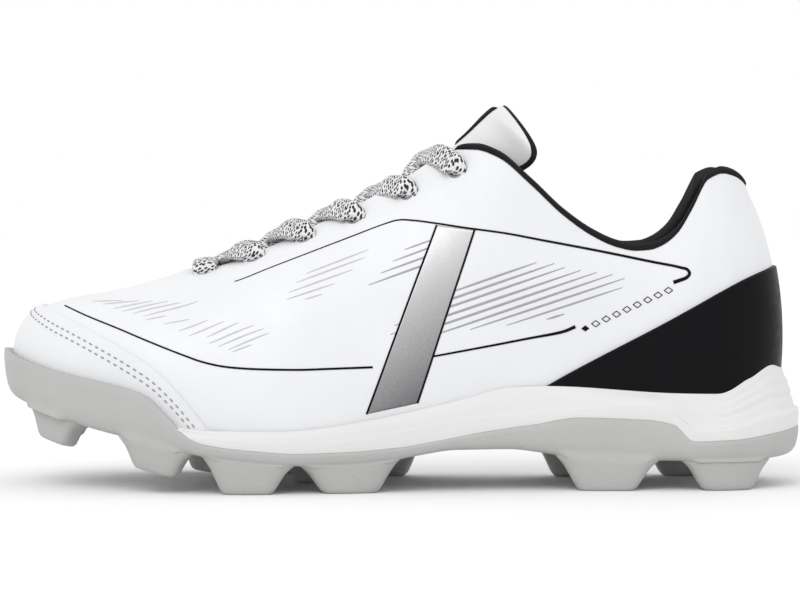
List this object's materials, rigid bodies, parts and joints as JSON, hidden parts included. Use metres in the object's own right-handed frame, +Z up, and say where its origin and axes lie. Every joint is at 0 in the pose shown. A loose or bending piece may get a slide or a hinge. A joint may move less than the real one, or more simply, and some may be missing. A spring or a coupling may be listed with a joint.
{
  "type": "baseball cleat",
  "caption": "Low-cut left baseball cleat with a lasted upper, laced throat, padded collar, cupped toe bumper and moulded rubber studs, standing empty.",
  "frame": {"origin": "on the ground under the middle of the shoe's length and width", "axes": "-X towards the toe, +Z up, -Y the outer side of the foot"},
  "size_m": [0.292, 0.1019, 0.1384],
  "materials": {
    "rubber_grey": "moulded, finely pebbled",
    "foam_white": "smooth moulded foam",
    "leather_white": "smooth coated synthetic leather",
    "cap_white": "smooth coated synthetic leather",
    "film_black": "satin black film",
    "lining_black": "padded knit",
    "insole_grey": "woven cover",
    "tongue_white": "soft synthetic leather",
    "label_black": "woven patch",
    "lace_cord": "flat braid, white with black flecks"
  },
  "bodies": {
    "root": {"outsole": "rubber_grey", "midsole": "foam_white", "upper": "leather_white", "toe_cap": "cap_white", "heel_counter": "film_black", "collar_lining": "lining_black", "insole": "insole_grey", "tongue": "tongue_white", "tongue_label": "label_black", "lace_bar": "lace_cord", "lace_crossing_1": "lace_cord", "lace_crossing_2": "lace_cord", "lace_crossing_3": "lace_cord", "lace_crossing_4": "lace_cord", "lace_crossing_5": "lace_cord"}
  },
  "joints": []
}
